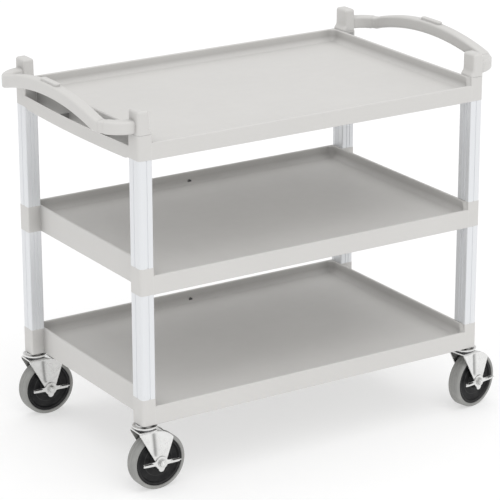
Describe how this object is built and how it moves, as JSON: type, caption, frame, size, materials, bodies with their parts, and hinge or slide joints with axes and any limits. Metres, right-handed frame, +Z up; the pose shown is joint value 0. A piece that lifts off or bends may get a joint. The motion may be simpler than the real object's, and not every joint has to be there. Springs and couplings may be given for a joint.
{
  "type": "food service trolley",
  "caption": "Wheeled food service trolley with stacked shallow plastic trays on corner posts, arched push handles at both ends and braked swivel casters.",
  "frame": {"origin": "on the floor, under the middle of the trolley, midway between the four posts; the middle of the overall box is within 5 mm of it", "axes": "+X along the trays towards the right-hand end, +Y towards the side with the full-height tray walls (the low lips are on -Y), +Z up"},
  "size_m": [1.0134, 0.5575, 0.8515],
  "materials": {
    "tray_plastic": "fine moulded satin grain, warm light grey",
    "post_metal": "satin anodised extrusion, cool near-white",
    "bright_steel": "bright zinc plate",
    "dark_steel": "plain turned steel",
    "core_plastic": "black moulded core",
    "grey_tread": "grey non-marking tread, dusty satin",
    "plug_plastic": "dark grey moulded plugs"
  },
  "bodies": {
    "frame": {"top_tray": "tray_plastic", "middle_tray": "tray_plastic", "bottom_tray": "tray_plastic", "upper_post_fl": "post_metal", "upper_post_fr": "post_metal", "upper_post_bl": "post_metal", "upper_post_br": "post_metal", "lower_post_fl": "post_metal", "lower_post_fr": "post_metal", "lower_post_bl": "post_metal", "lower_post_br": "post_metal", "corner_cap_fl": "tray_plastic", "corner_cap_fr": "tray_plastic", "corner_cap_bl": "tray_plastic", "corner_cap_br": "tray_plastic", "grip_left": "tray_plastic", "grip_right": "tray_plastic", "post_couplings": "plug_plastic", "stem_sockets": "plug_plastic", "corner_screws": "dark_steel", "drain_plugs": "plug_plastic", "stem_fl": "bright_steel", "stem_fr": "bright_steel", "stem_bl": "bright_steel", "stem_br": "bright_steel"},
    "swivel_fl": {"race_fl": "dark_steel", "fork_fl": "bright_steel", "axle_bolt_fl": "bright_steel", "axle_nut_fl": "bright_steel"},
    "wheel_fl": {"wheel_core_fl": "core_plastic", "tyre_fl": "grey_tread", "hub_bush_fl": "dark_steel"},
    "brake_fl": {"brake_lever_fl": "bright_steel"},
    "swivel_fr": {"race_fr": "dark_steel", "fork_fr": "bright_steel", "axle_bolt_fr": "bright_steel", "axle_nut_fr": "bright_steel"},
    "wheel_fr": {"wheel_core_fr": "core_plastic", "tyre_fr": "grey_tread", "hub_bush_fr": "dark_steel"},
    "brake_fr": {"brake_lever_fr": "bright_steel"},
    "swivel_bl": {"race_bl": "dark_steel", "fork_bl": "bright_steel", "axle_bolt_bl": "bright_steel", "axle_nut_bl": "bright_steel"},
    "wheel_bl": {"wheel_core_bl": "core_plastic", "tyre_bl": "grey_tread", "hub_bush_bl": "dark_steel"},
    "brake_bl": {"brake_lever_bl": "bright_steel"},
    "swivel_br": {"race_br": "dark_steel", "fork_br": "bright_steel", "axle_bolt_br": "bright_steel", "axle_nut_br": "bright_steel"},
    "wheel_br": {"wheel_core_br": "core_plastic", "tyre_br": "grey_tread", "hub_bush_br": "dark_steel"},
    "brake_br": {"brake_lever_br": "bright_steel"}
  },
  "joints": [
    {"name": "swivel_turn_fl", "type": "hinge", "parent": "frame", "child": "swivel_fl", "pos_m": [-0.42, -0.247, 0.142], "axis": [0, 0, 1], "continuous": true},
    {"name": "wheel_spin_fl", "type": "hinge", "parent": "swivel_fl", "child": "wheel_fl", "pos_m": [-0.394, -0.247, 0.0635], "axis": [0, 1, 0], "continuous": true},
    {"name": "brake_press_fl", "type": "hinge", "parent": "swivel_fl", "child": "brake_fl", "pos_m": [-0.394, -0.247, 0.0635], "axis": [0, 1, 0], "range_deg": [-20, 0]},
    {"name": "swivel_turn_fr", "type": "hinge", "parent": "frame", "child": "swivel_fr", "pos_m": [0.42, -0.247, 0.142], "axis": [0, 0, 1], "continuous": true},
    {"name": "wheel_spin_fr", "type": "hinge", "parent": "swivel_fr", "child": "wheel_fr", "pos_m": [0.44543, -0.24159, 0.0635], "axis": [-0.2079, 0.9781, 0], "continuous": true},
    {"name": "brake_press_fr", "type": "hinge", "parent": "swivel_fr", "child": "brake_fr", "pos_m": [0.44543, -0.24159, 0.0635], "axis": [-0.2079, 0.9781, 0], "range_deg": [-20, 0]},
    {"name": "swivel_turn_bl", "type": "hinge", "parent": "frame", "child": "swivel_bl", "pos_m": [-0.42, 0.247, 0.142], "axis": [0, 0, 1], "continuous": true},
    {"name": "wheel_spin_bl", "type": "hinge", "parent": "swivel_bl", "child": "wheel_bl", "pos_m": [-0.394, 0.247, 0.0635], "axis": [0, 1, 0], "continuous": true},
    {"name": "brake_press_bl", "type": "hinge", "parent": "swivel_bl", "child": "brake_bl", "pos_m": [-0.394, 0.247, 0.0635], "axis": [0, 1, 0], "range_deg": [-20, 0]},
    {"name": "swivel_turn_br", "type": "hinge", "parent": "frame", "child": "swivel_br", "pos_m": [0.42, 0.247, 0.142], "axis": [0, 0, 1], "continuous": true},
    {"name": "wheel_spin_br", "type": "hinge", "parent": "swivel_br", "child": "wheel_br", "pos_m": [0.446, 0.247, 0.0635], "axis": [0, 1, 0], "continuous": true},
    {"name": "brake_press_br", "type": "hinge", "parent": "swivel_br", "child": "brake_br", "pos_m": [0.446, 0.247, 0.0635], "axis": [0, 1, 0], "range_deg": [-20, 0]}
  ]
}
